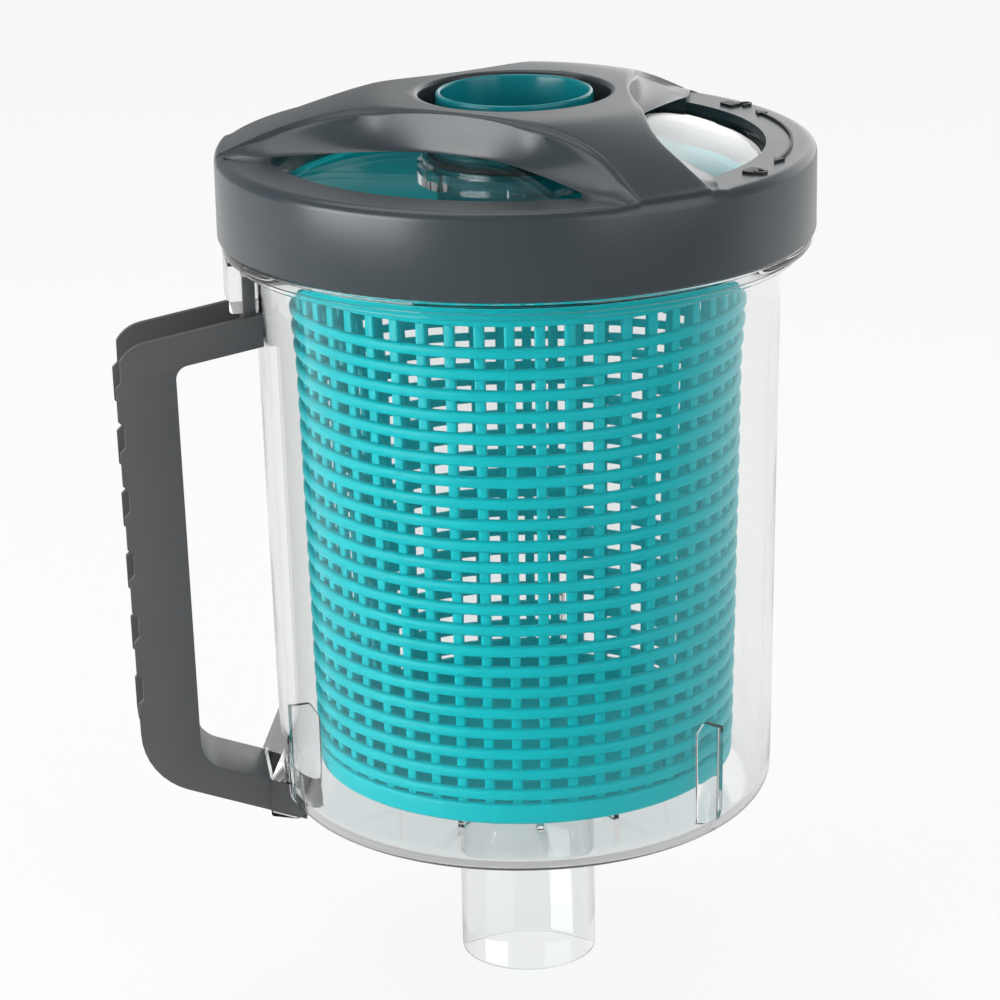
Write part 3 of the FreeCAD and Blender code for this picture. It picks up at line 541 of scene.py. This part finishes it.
def cut_can_shape(piece, gap):
    """Trim a piece where the can stands, with a gap round it."""
    skin = [(0.5, Z_FLOOR - gap)]
    skin += arc(corner_r - CORNER_R, Z_FLOOR + CORNER_R, CORNER_R + gap, -90, 0, 12)
    skin += [(CAN_R_HIGH + gap, Z_CAN_TOP), (0.5, Z_CAN_TOP), (0.5, Z_FLOOR - gap)]
    combine(piece, turned("can_shape", skin, 160), "DIFFERENCE")


print("handle corners:", handle_corner(top_line, 0, 0), handle_corner(low_line, 0, 0))

# %% Handle with its channel, notches and tongue
handle = plate("side_handle", handle_side(), -HANDLE_HALF, HANDLE_HALF)
far = GRIP_X + GRIP_DEPTH
channel = [(FOOT_X - 3, top_line(FOOT_X - 3, ARM - WEB), 0)]
channel.append(handle_corner(top_line, ARM - WEB, GRIP_DEPTH - WEB) + (7.1,))
channel.append(handle_corner(low_line, ARM - WEB, GRIP_DEPTH - WEB) + (12.6,))
channel.append((FOOT_X - 3, low_line(FOOT_X - 3, ARM - WEB), 0))
channel += [(FOOT_X - 3, 20, 0), (far, 20, 0), (far, 260, 0), (FOOT_X - 3, 260, 0)]
hollow = plate("channel", rounded(channel), FLANGE - HANDLE_HALF, HANDLE_HALF - FLANGE)
combine(handle, hollow, "DIFFERENCE")
NOTCHES = 6
for i in range(NOTCHES):
    z = 213.1 - 21.3 * i
    x = grip_x(z, 1.8)
    side = [(x, z - 3.6), (x, z + 3.6), (x + 1.8, z + 5.4), (far, z + 5.4), (far, z - 5.4), (x + 1.8, z - 5.4)]
    combine(handle, plate("notch", side, -20, 20), "DIFFERENCE")
tongue = plate("tongue", rounded([(84.95, 219, 0), (88.55, 219, 0), (88.55, 240.9, 1.0), (84.95, 240.9, 1.0)]), -9, 9)
combine(handle, tongue)
cut_can_shape(handle, 0.3)
apply_modifier(handle, "BEVEL", width=0.7 * MM, segments=3, limit_method="ANGLE", angle_limit=math.radians(40))
handle.data.transform(Matrix.Rotation(math.radians(HANDLE_DEG), 4, "Z"))
finish_piece(handle, handle_plastic, "canister", "handle_plastic", "handle")

# %% [markdown]
# The can holds the handle at both ends: in a clear pocket under the flange, where the handle's tongue stands, and
# in a clear wedge-shaped shoe at the foot. Both are part of the can's moulding.

# %% Pocket and shoe on the can
pocket = plate("pocket", rounded([(82.0, 229.7, 0), (93.0, 229.7, 1.2), (93.0, 245, 0), (82.0, 245, 0)]), -11.1, 11.1)
combine(pocket, plate("pocket_space", [(84.65, 228), (88.85, 228), (88.85, 241.2), (84.65, 241.2)], -9.4, 9.4), "DIFFERENCE")
pocket.data.transform(Matrix.Rotation(math.radians(HANDLE_DEG), 4, "Z"))
arm_top = LOW_Z + ARM * math.hypot(1, LOW_SLOPE)
shoe_side = [(70.0, 60.6, 0), (78.4, 58.4, 0), (86.7, 60.0, 1.0), (86.7, arm_top + 1.6, 2.0), (80.6, arm_top + 16, 0),
             (79.5, arm_top + 16, 0), (79.5, 66.0, 0)]
shoe = plate("shoe", rounded(shoe_side), -15.1, 15.1)
combine(shoe, plate("arm_space", handle_side(0.3), -13.8, 13.8), "DIFFERENCE")
shoe.data.transform(Matrix.Rotation(math.radians(HANDLE_DEG), 4, "Z"))
can = join(can, fins, pocket, shoe)
finish_piece(can, clear_plastic, "canister", "clear_plastic", "canister_body")

# %% [markdown]
# The strainer basket is one teal moulding: 22 rounded rings outside 48 upright bars, with a plain collar above and
# a foot ring and floor below. Real holes matter here, because the light that comes through them draws the
# pattern. One ring is modelled and copied, each copy scaled to the taper, and so is one bar.

# %% Basket
BASKET_LOW_R = 67.4
BASKET_SLOPE = math.tan(math.radians(1.25))
RING_COUNT = 22
RING_PITCH = 6.93
FIRST_RING_Z = 83.5
RING_HALF = 1.75
BAR_COUNT = 48
BAR_FIRST_DEG = -88.5 + 3.75
Z_BASKET = 73.3
Z_BASKET_TOP = 264.5


def basket_r(z):
    """Outer radius of the basket's wall at a height, without its rings."""
    return BASKET_LOW_R + (z - Z_BASKET) * BASKET_SLOPE


parts = []
for i in range(RING_COUNT):
    z = FIRST_RING_Z + i * RING_PITCH
    r = basket_r(z)
    section = arc(r + 0.2, z + RING_HALF - 1.1, 1.1, 90, 0, 3) + arc(r + 0.2, z - RING_HALF + 1.1, 1.1, 0, -90, 3)
    section += arc(r - 1.0, z - RING_HALF + 0.5, 0.5, -90, -180, 2) + arc(r - 1.0, z + RING_HALF - 0.5, 0.5, 180, 90, 2)
    parts.append(turned("ring", section + section[:1], 144))
basket_rings = join(*parts)
basket_rings.name = "basket_rings"
finish_piece(basket_rings, basket_plastic, "canister", "teal_plastic", "leaf_basket", smooth_deg=60)

# %% Basket bars, collar and foot
low, high = 79.0, 239.0
side = [(basket_r(low) - 2.6, low), (basket_r(high) - 2.6, high), (basket_r(high) - 0.4, high), (basket_r(low) - 0.4, low)]
bar = plate("basket_bars", side, -1.6, 1.6)
apply_modifier(bar, "BEVEL", width=0.5 * MM, segments=2, limit_method="ANGLE")
bars = copies_around(bar, BAR_COUNT, BAR_FIRST_DEG)
bars.name = "basket_bars"
finish_piece(bars, basket_plastic, "canister", "teal_plastic", "leaf_basket", smooth_deg=60)
top_r = basket_r(Z_BASKET_TOP)
collar_r = basket_r(238)
section = arc(collar_r + 0.1, 238.6, 0.9, 180, 360, 6) + [(basket_r(259) + 0.9, 259.8)]
section += arc(top_r + 1.9, 262.3, 0.7, -90, 0, 3) + arc(top_r + 1.9, 263.8, 0.7, 0, 90, 3)
section += arc(top_r - 1.0, 263.9, 0.6, 90, 180, 3) + [(basket_r(259) - 1.6, 258), (collar_r - 1.2, 246)]
band = turned("basket_collar", section + [(collar_r - 0.8, 238.6)], 192)
foot_r = basket_r(76) + 1.1
section = [(0.4, Z_BASKET)] + [(24, Z_BASKET)] + arc(foot_r - 2.0, Z_BASKET + 2.0, 2.0, -90, 0, 6)
section += arc(foot_r - 0.9, 79.4, 0.9, 0, 90, 3) + arc(foot_r - 2.2, 79.7, 0.6, 90, 180, 3)
section += [(foot_r - 2.8, 77.7), (foot_r - 4.5, 75.7), (24, 75.7), (0.4, 75.7), (0.4, Z_BASKET)]
foot = turned("basket_foot", section, 192)
basket = join(band, foot)
basket.name = "basket_collar_and_foot"
finish_piece(basket, basket_plastic, "canister", "teal_plastic", "leaf_basket")

# %% [markdown]
# The inlet tube has a rounded rim, which catches a thin pale line of light, and a flange that rests on the window.

# %% Inlet tube
rings = arc(24.05, 293.45, 0.75, 180, 0, 6)
rings += [(24.8, 278.0)] + arc(25.6, 277.9, 0.8, 180, 270, 3)
rings += arc(28.5, 276.4, 0.7, 90, -90, 5) + [(24.8, 274.3), (24.8, 241.3)]
rings += arc(24.05, 241.05, 0.75, 0, -180, 6) + [(23.3, 293.45)]
tube = turned("inlet_tube_skin", rings)
finish_piece(tube, tube_plastic, "insert", "teal_plastic", "inlet_tube")

# %% [markdown]
# The lid's collar is the hard piece. Each eye is a scoop between two arms. Its edges are two curves in plan: the
# crest, where the dome ends in a small upright lip, and the foot, where the scoop meets the window or the rim's
# land. The surface is laid between the hub's edge, the crest and the foot as a grid whose columns run along the
# curves. So the edges are exact, and the gloss runs smoothly between them.

# %% The lid's curves in plan
Z_HUB = 294.0
Z_LAND = 277.5
Z_LAND_UNDER = 274.5
Z_STEP = 281.0
RIM_R = 95.0
RIM_ROUND = 3.0
LAND_R = 79.0
LAND_STEP = 1.6
HUB_R = 30.3
HUB_ROUND = 1.2
DOME_R = 220.0
DOME_CENTRE = 79.07
EYES = (0.5, 120.5, 240.5)
COLUMNS = (12, 12, 10)


def dome_z(r):
    """Height of the dome, which runs softly into the flat hub."""
    drop = Z_HUB - DOME_CENTRE - math.sqrt(DOME_R ** 2 - r ** 2)
    return Z_HUB - 0.5 * (drop + math.sqrt(drop ** 2 + 0.64))


def spline(points, steps=16):
    """A smooth curve through the points, mirrored about the eye's middle at its start."""
    chain = [Vector((-points[1][0], points[1][1]))] + [Vector(p) for p in points]
    chain.append(2 * chain[-1] - chain[-2])
    line = []
    for a, b, c, d in zip(chain, chain[1:], chain[2:], chain[3:]):
        for k in range(steps):
            t = k / steps
            line.append(0.5 * (2 * b + (c - a) * t + (2 * a - 5 * b + 4 * c - d) * t * t
                               + (3 * b - a - 3 * c + d) * t ** 3))
    return line + [chain[-2]]


def sample(line, start, end, count):
    """Points at even spacing along a stretch of a line, between two tests of its points."""
    first = next(i for i, p in enumerate(line) if start(p))
    last = next(i for i, p in enumerate(line) if end(p))
    stretch = line[first:last + 1]
    lengths = [0.0]
    for a, b in zip(stretch, stretch[1:]):
        lengths.append(lengths[-1] + (b - a).length)
    found = []
    for k in range(count + 1):
        want = lengths[-1] * k / count
        i = max(j for j, length in enumerate(lengths) if length <= want + 1e-9)
        i = min(i, len(stretch) - 2)
        share = (want - lengths[i]) / max(lengths[i + 1] - lengths[i], 1e-9)
        found.append(stretch[i].lerp(stretch[i + 1], share))
    return found


CREST = spline([(0, 35.6), (26, 38.0), (52, 42.8), (78.5, 60.5)], 64)
FOOT_ARC = [Vector((60 * math.sin(math.radians(a)), 97.5 - 60 * math.cos(math.radians(a))))
            for a in [25.7 * k / 32 for k in range(33)]]
FOOT_TIP = Vector((54.5, 57.15))
FOOT_LINE = [FOOT_ARC[-1].lerp(FOOT_TIP, k / 32) for k in range(33)]
FLARE_END = Vector((77.5, 59.5))
FLARE_BEND = Vector((60.0, 59.6))
FLARE = [(FOOT_TIP.lerp(FLARE_BEND, t)).lerp(FLARE_BEND.lerp(FLARE_END, t), t) for t in [k / 64 for k in range(65)]]


def eye_curves(edge_r, hub_r):
    """Matching points on the hub's edge, the crest and the foot, from an eye's middle to the rim."""
    n_arc, n_line, n_land = COLUMNS
    whole = lambda p: True
    crest = sample(CREST, whole, lambda p: p.x > 27, n_arc)
    crest += sample(CREST, lambda p: p.x > 27, lambda p: p.x > 56, n_line)[1:]
    crest += sample(CREST, lambda p: p.x > 56, lambda p: p.length > edge_r, n_land)[1:]
    foot = sample(FOOT_ARC, whole, lambda p: p is FOOT_ARC[-1], n_arc)
    foot += sample(FOOT_LINE, whole, lambda p: p is FOOT_LINE[-1], n_line)[1:]
    foot += sample(FLARE, whole, lambda p: p.length > edge_r, n_land)[1:]
    out = Vector((math.sin(math.radians(60)), math.cos(math.radians(60))))
    hub = [Vector((math.sin(a), math.cos(a))) * hub_r for a in [math.radians(60 * k / n_arc) for k in range(n_arc + 1)]]
    hub += [out * (hub_r + (66 - hub_r) * k / n_line) for k in range(1, n_line + 1)]
    hub += [out * (66 + (edge_r - 66) * k / n_land) for k in range(1, n_land + 1)]
    for line in (crest, foot):
        line[-1] = line[-1].normalized() * edge_r
    return hub, crest, foot


RIM_EDGE_R = RIM_R - RIM_ROUND
HUB_EDGE_R = HUB_R + HUB_ROUND
hub, crest, foot = eye_curves(RIM_EDGE_R, HUB_EDGE_R)
print("columns in half an eye:", len(hub), len(crest), len(foot), "tip radius", round(foot[24].length, 2))

# %% [markdown]
# Now the columns. Each one runs from the hub's edge over the dome to the crest, down the lip, through the hollow
# of the scoop to the foot. Beside the window it ends there, a small step above the clear plate. At the rim it goes
# on down to the land, which is a second grid between the foot's two ends. Both grids start as grid primitives,
# whose points are moved to these places.

# %% Lid patches
def grid_patch(rows):
    """A grid primitive with its points moved to rows of (x, y, z) places in millimetres."""
    deselect_all()
    bpy.ops.mesh.primitive_grid_add(x_subdivisions=len(rows[0]) - 1, y_subdivisions=len(rows) - 1)
    patch = bpy.context.object
    flat = [Vector(p) * MM for row in rows for p in row]
    for vertex, place in zip(patch.data.vertices, flat):
        vertex.co = place
    return patch


def swept(a, b, share):
    """A point between two plan points that keeps to the circle where both lie on one."""
    length = a.length + (b.length - a.length) * share
    return a.lerp(b, share).normalized() * length


def window_top(r):
    """Height of the window's crown at a radius inside the land."""
    return 274.3 + 6.5 * (1 - ((r - 40.0) / 39.0) ** 2)


def wall_foot(r):
    """Height at which a scoop ends beside the window. It comes down to the land's step at the window's corners."""
    return Z_STEP - (Z_STEP - Z_LAND - LAND_STEP) * max(0.0, (r - 37.5) / (LAND_R - 37.5)) ** 2


def column(hub, crest, foot, at_window):
    """One column of the eye, from the hub's edge to the foot, as (plan point, height)."""
    points = []
    for k in range(9):
        plan = swept(hub, crest, k / 8)
        points.append((plan, dome_z(plan.length)))
    top = dome_z(crest.length)
    foot_z = wall_foot(min(foot.length, LAND_R)) if at_window else Z_LAND + min(LAND_STEP, 0.4 * (top - Z_LAND))
    width = (foot - crest).length
    fall = top - foot_z
    lip = min(1.0, width / 5, fall / 5)
    start = 1.5 * lip
    for d, drop in ((0.35, 0.12), (0.6, 0.45), (0.7, 1.7), (1.0, 2.1), (1.5, 2.4)):
        points.append((swept(crest, foot, d * lip / width), top - drop * lip))
    for k in range(1, 9):
        x = k / 8
        z = foot_z + (fall - 2.4 * lip) * (1 - x) ** 1.7
        points.append((swept(crest, foot, (start + (width - start) * x) / width), z))
    points.append((foot, foot_z if at_window else Z_LAND))
    return points


def placed(plan, z, mirror, degrees):
    """A plan point of an eye as an (x, y, z) place on the lid."""
    angle = math.radians(degrees)
    u = -plan.x if mirror else plan.x
    return (plan.y * math.cos(angle) - u * math.sin(angle), plan.y * math.sin(angle) + u * math.cos(angle), z)


def eye_patches(degrees):
    """The scoop and the land of one eye, and the closed underside of its arms."""
    patches = []
    tip = COLUMNS[0] + COLUMNS[1]
    last = len(hub) - 1
    for mirror in (False, True):
        for first, end, at_window in ((0, tip, True), (tip, last, False)):
            columns = [column(hub[k], crest[k], foot[k], at_window) for k in range(first, end + 1)]
            rows = [[placed(*columns[c][r], mirror, degrees) for c in range(len(columns))]
                    for r in range(len(columns[0]))]
            patches.append(grid_patch(rows))
        inside = [line_point * (HUB_R / HUB_EDGE_R) for line_point in hub[:COLUMNS[0] + 1]] + hub[COLUMNS[0] + 1:]
        feet = [wall_foot(min(p.length, LAND_R)) for p in foot[:tip + 1]]
        steps = [(k, Z_STEP, feet[k]) for k in range(tip + 1)] + [(tip, Z_LAND, Z_LAND)]
        steps += [(k, Z_LAND_UNDER, Z_LAND_UNDER) for k in range(tip, last + 1)]
        patches.append(grid_patch([[placed(inside[k], z, mirror, degrees) for k, z, _ in steps],
                                   [placed(foot[k], z, mirror, degrees) for k, _, z in steps]]))
        ends = [column(hub[tip], crest[tip], foot[tip], at_window) for at_window in (True, False)]
        patches.append(grid_patch([[placed(*point, mirror, degrees) for point in end] for end in ends]))
    rows = []
    for k in range(tip, last + 1):
        half = math.atan2(foot[k].x, foot[k].y)
        r = foot[k].length
        plan = [Vector((math.sin(half * s / 24), math.cos(half * s / 24))) * r for s in range(-24, 25)]
        rows.append([placed(p, Z_LAND, False, degrees) for p in plan])
    edge = [placed(p * (LAND_R / foot[tip].length), Z_LAND_UNDER, False, degrees)
            for p in [Vector((math.sin(h), math.cos(h))) * foot[tip].length
                      for h in [math.atan2(foot[tip].x, foot[tip].y) * s / 24 for s in range(-24, 25)]]]
    patches.append(grid_patch([edge] + rows))
    outer = [(x, y, Z_LAND_UNDER) for x, y, z in rows[-1]]
    patches.append(grid_patch([outer, edge]))
    return patches


collar = join(*[patch for degrees in EYES for patch in eye_patches(degrees)])
collar.name = "lid_collar_skin"
close_skin(collar)
print("collar's top:", len(collar.data.polygons), "faces")

# %% [markdown]
# The rim is grown out of the top's outer edge: a small radius, the tall plain skirt, a rounded lower edge, and the
# bore inside. Then the hub's rounded edge and sleeve are grown the same way from the hole.

# %% Lid skirt and hub
SKIRT_LOW = 250.5
BORE_R = 91.2


def grow_edge(piece, move):
    """Extrude the selected edge, and move each new point to the place that move gives for it."""
    select_only(piece)
    bpy.ops.object.mode_set(mode="EDIT")
    bpy.ops.mesh.extrude_edges_move(TRANSFORM_OT_translate={"value": (0, 0, 0)})
    bpy.ops.object.mode_set(mode="OBJECT")
    for vertex in piece.data.vertices:
        if vertex.select:
            vertex.co = Vector(move(*[c / MM for c in vertex.co])) * MM


def select_ring(piece, r, low, high):
    """Select the open edge at a radius, between two heights, in millimetres."""
    select_only(piece)
    bpy.ops.object.mode_set(mode="EDIT")
    bpy.context.tool_settings.mesh_select_mode = (True, False, False)
    bpy.ops.mesh.select_all(action="DESELECT")
    bpy.ops.object.mode_set(mode="OBJECT")
    count = 0
    for vertex in piece.data.vertices:
        x, y, z = [c / MM for c in vertex.co]
        vertex.select = abs(math.hypot(x, y) - r) < 0.03 and low < z < high
        count += vertex.select
    print("points on the ring at", r, ":", count)


def to_ring(r, z):
    """A move that takes a point to a radius and height at its own angle."""
    def move(x, y, _):
        angle = math.atan2(y, x)
        return (r * math.cos(angle), r * math.sin(angle), z)
    return move


select_ring(collar, RIM_EDGE_R, Z_LAND - 0.2, 290)
ROUND_STEPS = 6
height = {}
for step in range(1, ROUND_STEPS + 1):
    a = math.radians(90 * step / ROUND_STEPS)
    r = RIM_EDGE_R + RIM_ROUND * math.sin(a)

    def move(x, y, z, r=r, a=a):
        angle = math.atan2(y, x)
        top = height.setdefault(round(angle, 5), z)
        low = Z_LAND - RIM_ROUND
        return (r * math.cos(angle), r * math.sin(angle), low + (top - low) * math.cos(a))

    grow_edge(collar, move)
for r, z in [(RIM_R, SKIRT_LOW + 0.9)] + arc(RIM_R - 0.9, SKIRT_LOW + 0.9, 0.9, -30, -90, 2) + [(BORE_R + 0.5, SKIRT_LOW),
             (BORE_R, SKIRT_LOW + 0.5), (BORE_R, Z_LAND_UNDER)]:
    grow_edge(collar, to_ring(r, z))

select_ring(collar, HUB_EDGE_R, Z_LAND_UNDER + 1, Z_HUB + 1)
for a in (30, 60, 90):
    angle = math.radians(a)
    grow_edge(collar, to_ring(HUB_EDGE_R - HUB_ROUND * math.sin(angle), Z_HUB - 0.1 - HUB_ROUND * (1 - math.cos(angle))))
grow_edge(collar, to_ring(HUB_R, Z_STEP))
lug = helix_ridge("lid_lugs", BORE_R + 0.5, BORE_R - 2.6, 253.0, 45)
lugs = copies_around(lug, 3, 38.0)
collar = join(collar, lugs)
close_skin(collar)
finish_piece(collar, lid_plastic, "collar", "collar_plastic", "lid_collar", smooth_deg=38)

# %% [markdown]
# The land of one eye carries raised turn marks: a long curved arrow with two heads, and a padlock at each end, one
# open and one closed. Each is a flat outline that is extruded upwards, laid on the land and turned to its place.

# %% Turn marks on the land
MARK_HEIGHT = 0.8
MARK_R = 87.0
LOCK_DEG = 34.0
ARROW_DEG = 22.0


def mark(outline, degrees):
    """A raised mark. The outline's x runs along the land and its z points outwards."""
    piece = plate("mark", outline, 0.0, MARK_HEIGHT + 0.2)
    lay = Matrix(((0, 0, 1, MARK_R * MM), (-1, 0, 0, 0), (0, 1, 0, (Z_LAND - 0.2) * MM), (0, 0, 0, 1)))
    piece.data.transform(Matrix.Rotation(math.radians(degrees), 4, "Z") @ lay)
    return piece


def shackle(x, z):
    """A padlock's bow as an outline, with its middle at (x, z)."""
    return [(x - 2.0, z - 2.0)] + [(x + p, z + q) for p, q in arc(0, 0.4, 2.0, 180, 0, 8)] + [(x + 2.0, z - 2.0)] + \
        [(x + 1.1, z - 2.0)] + [(x + p, z + q) for p, q in arc(0, 0.4, 1.1, 0, 180, 8)] + [(x - 1.1, z - 2.0)]


marks = []
case = rounded([(-3.0, -3.2, 0.5), (3.0, -3.2, 0.5), (3.0, 0.9, 0.5), (-3.0, 0.9, 0.5)])
for degrees, x, z in ((LOCK_DEG, 3.1, 2.6), (-LOCK_DEG, 0.0, 1.6)):
    marks.append(mark(case, EYES[0] + degrees))
    marks.append(mark(shackle(x, z), EYES[0] + degrees))


def on_arc(r, degrees):
    """A point of the arrow, as an outline point beside the middle of the eye."""
    a = math.radians(degrees)
    return (-r * math.sin(a), r * math.cos(a) - MARK_R)


heads = [on_arc(MARK_R + 0.4, ARROW_DEG), on_arc(MARK_R + 1.8, ARROW_DEG), on_arc(MARK_R, ARROW_DEG + 3.2),
         on_arc(MARK_R - 1.8, ARROW_DEG), on_arc(MARK_R - 0.4, ARROW_DEG)]
arrow = heads + [on_arc(MARK_R - 0.4, ARROW_DEG - 2.0 * k) for k in range(1, 22)]
arrow += [(-x, z) for x, z in reversed(heads)] + [on_arc(MARK_R + 0.4, 2.0 * k - ARROW_DEG) for k in range(1, 22)]
marks.append(mark(arrow, EYES[0]))
marks = join(*marks)
marks.name = "turn_marks"
finish_piece(marks, mark_plastic, "collar", "collar_plastic", "lid_collar", smooth_deg=30)

# %% [markdown]
# The window is a clear disc with a plain rim, a seat for the tube's flange and a groove for the O-ring. Between them
# it is crowned a few millimetres, as moulded lenses are, so that it meets the foot of the scoops. The crown is what
# gives it its long curved highlights.

# %% Window
crown = [(r, window_top(r)) for r in (79, 74, 69, 64, 59, 54, 49, 44, 40, 36, 33, 31)]
rings = [(86.0, 271.3)] + arc(86.0, 271.8, 0.5, -90, 0, 3) + arc(86.0, 273.8, 0.5, 0, 90, 3) + crown
rings += [(30.4, 280.2), (30.4, 278.3)] + [(r, z - 3.0) for r, z in reversed(crown)] + [(86.0, 271.3)]
window = turned("crowned_window", rings)
seat = [(27.9, 272.5), (26.1, 272.5), (26.1, 274.3), (25.1, 274.3), (25.1, 271.3), (29.0, 271.3)]
seat += [(29.0, 274.3), (27.9, 274.3), (27.9, 272.5)]
window = join(window, turned("window_seat", seat))
finish_piece(window, window_plastic, "insert", "window_plastic", "lid_window")

# %% [markdown]
# The seal, the O-ring and the lock ring keep the form of their solids and get their finish.

# %% Finish of the solids that stay
for node, material in (("lid_seal", seal_rubber), ("inlet_o_ring", seal_rubber), ("inlet_lock_ring", window_plastic)):
    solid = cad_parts[node]
    solid.data.materials.clear()
    solid.data.materials.append(material)
